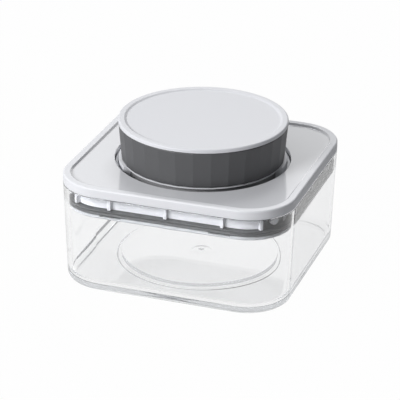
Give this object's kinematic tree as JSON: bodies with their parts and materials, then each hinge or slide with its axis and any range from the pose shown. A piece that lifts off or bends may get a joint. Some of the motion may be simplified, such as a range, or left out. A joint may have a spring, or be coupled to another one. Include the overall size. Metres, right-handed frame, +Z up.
{
  "type": "airtight food container",
  "caption": "Square clear food canister with a white lift-off lid, a grey gasket and a round turning pump knob that sinks into the lid to press the air out.",
  "frame": {"origin": "centre of the base, on the surface that the canister stands on", "axes": "+Z up through the knob's axis, +X and +Y at right angles to the walls; the picture shows the -Y wall and a little of the +X wall"},
  "size_m": [0.128, 0.128, 0.082],
  "materials": {
    "clear": "clear polished moulding",
    "white": "satin to gloss moulding",
    "matt_white": "matt moulding",
    "grip": "matt dark grey",
    "silicone": "matt silicone",
    "valve": "translucent silicone",
    "steel": "plain",
    "felt": "pressed felt"
  },
  "bodies": {
    "tub": {"tub": "clear"},
    "lid": {"lid_shell": "white", "gasket": "silicone", "base_frame": "matt_white", "base_screw_1": "steel", "base_screw_2": "steel", "base_screw_3": "steel", "base_screw_4": "steel", "inlet_valve": "valve", "filter_disc": "felt", "filter_cover": "matt_white", "cam_track": "matt_white", "guide_pin_1": "steel", "guide_pin_2": "steel"},
    "pump": {"piston": "matt_white", "piston_seal": "silicone", "outlet_valve": "valve", "pivot_washer": "steel", "pivot_screw": "steel"},
    "knob": {"knob_core": "white", "grip_ring": "grip", "knob_cap": "white"}
  },
  "joints": [
    {"name": "lid_lift", "type": "slide", "parent": "tub", "child": "lid", "axis": [0, 0, 1], "range_m": [0, 0.06]},
    {"name": "piston_slide", "type": "slide", "parent": "lid", "child": "pump", "axis": [0, 0, 1], "range_m": [-0.01, 0]},
    {"name": "knob_turn", "type": "hinge", "parent": "pump", "child": "knob", "pos_m": [0, 0, 0.07655], "axis": [0, 0, 1], "range_deg": [-90, 0]}
  ],
  "couplings": [
    {"joint": "piston_slide", "follows": "knob_turn", "m_per_rad": 0.0063662}
  ]
}
